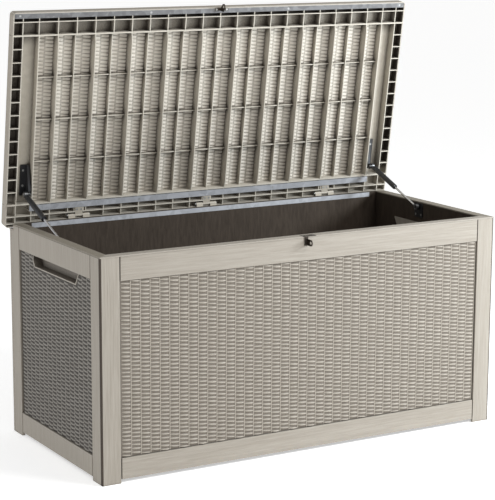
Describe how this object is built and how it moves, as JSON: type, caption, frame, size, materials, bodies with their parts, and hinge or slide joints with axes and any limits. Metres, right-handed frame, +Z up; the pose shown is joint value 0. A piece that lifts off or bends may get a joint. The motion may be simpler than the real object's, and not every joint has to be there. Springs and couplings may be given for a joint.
{
  "type": "storage bench",
  "caption": "Long box seat with wicker-look resin walls, end finger pockets and a rear-hinged ribbed lid held open by gas struts.",
  "frame": {"origin": "middle of the body footprint, on the floor, at the face of the centre foot", "axes": "+X along the bench, -Y towards its front, +Z up"},
  "size_m": [1.234, 0.609, 1.1564],
  "materials": {
    "board_resin": "matte, faint wood grain",
    "wicker_resin": "matte woven texture",
    "lid_resin": "matte",
    "liner_resin": "dark matte",
    "galvanised_bar": "dull galvanised",
    "zinc_steel": "zinc plated",
    "latch_steel": "dark bronze coating",
    "strut_black": "satin black",
    "strut_fitting": "dark plated",
    "rod_chrome": "polished"
  },
  "bodies": {
    "box": {"back_bottom_rail": "board_resin", "back_core": "liner_resin", "back_left_corner_angle": "liner_resin", "back_left_post": "board_resin", "back_right_corner_angle": "liner_resin", "back_right_post": "board_resin", "back_rim_bar": "galvanised_bar", "back_top_rail": "board_resin", "back_wicker_panel": "wicker_resin", "box_screws": "zinc_steel", "floor_panel": "liner_resin", "front_bottom_rail": "board_resin", "front_core": "liner_resin", "front_left_corner_angle": "liner_resin", "front_left_post": "board_resin", "front_right_corner_angle": "liner_resin", "front_right_post": "board_resin", "front_top_rail": "board_resin", "front_wicker_panel": "wicker_resin", "hinge_pins": "zinc_steel", "latch_keeper": "latch_steel", "left_back_post": "board_resin", "left_bottom_rail": "board_resin", "left_core": "liner_resin", "left_front_post": "board_resin", "left_handle_pocket": "board_resin", "left_hinge_box_leaf": "zinc_steel", "left_strut_wall_bracket": "zinc_steel", "left_top_rail": "board_resin", "left_wicker_panel": "wicker_resin", "middle_hinge_box_leaf": "zinc_steel", "right_back_post": "board_resin", "right_bottom_rail": "board_resin", "right_core": "liner_resin", "right_front_post": "board_resin", "right_handle_pocket": "board_resin", "right_hinge_box_leaf": "zinc_steel", "right_strut_wall_bracket": "zinc_steel", "right_top_rail": "board_resin", "right_wicker_panel": "wicker_resin"},
    "lid": {"lid_shell": "lid_resin", "front_bar": "galvanised_bar", "rear_bar": "galvanised_bar", "latch_eye": "latch_steel", "left_hinge_lid_leaf": "zinc_steel", "middle_hinge_lid_leaf": "zinc_steel", "right_hinge_lid_leaf": "zinc_steel", "left_strut_lid_bracket": "zinc_steel", "right_strut_lid_bracket": "zinc_steel", "strut_lid_pins": "zinc_steel", "lid_screws": "zinc_steel"},
    "left_strut_cylinder": {"left_strut_tube": "strut_black", "left_strut_tube_eye": "strut_fitting"},
    "left_strut_piston_rod": {"left_strut_rod": "rod_chrome", "left_strut_rod_eye": "strut_fitting"},
    "right_strut_cylinder": {"right_strut_tube": "strut_black", "right_strut_tube_eye": "strut_fitting"},
    "right_strut_piston_rod": {"right_strut_rod": "rod_chrome", "right_strut_rod_eye": "strut_fitting"}
  },
  "joints": [
    {"name": "lid_hinge", "type": "hinge", "parent": "box", "child": "lid", "pos_m": [0, 0.275, 0.586], "axis": [1, 0, 0], "range_deg": [0, 81.14]},
    {"name": "left_strut_swing", "type": "hinge", "parent": "lid", "child": "left_strut_cylinder", "pos_m": [-0.562, 0.25996, 0.65652], "axis": [1, 0, 0], "range_deg": [-97.39, 0]},
    {"name": "left_strut_stroke", "type": "slide", "parent": "left_strut_cylinder", "child": "left_strut_piston_rod", "axis": [0, -0.9305, -0.3663], "range_m": [-0.0735, 0]},
    {"name": "right_strut_swing", "type": "hinge", "parent": "lid", "child": "right_strut_cylinder", "pos_m": [0.562, 0.25996, 0.65652], "axis": [1, 0, 0], "range_deg": [-97.39, 0]},
    {"name": "right_strut_stroke", "type": "slide", "parent": "right_strut_cylinder", "child": "right_strut_piston_rod", "axis": [0, -0.9305, -0.3663], "range_m": [-0.0735, 0]}
  ],
  "couplings": [
    {"joint": "left_strut_swing", "follows": "lid_hinge", "ratio": -1.1997},
    {"joint": "left_strut_stroke", "follows": "lid_hinge", "m_per_rad": -0.051828},
    {"joint": "right_strut_swing", "follows": "lid_hinge", "ratio": -1.1997},
    {"joint": "right_strut_stroke", "follows": "lid_hinge", "m_per_rad": -0.051828}
  ]
}
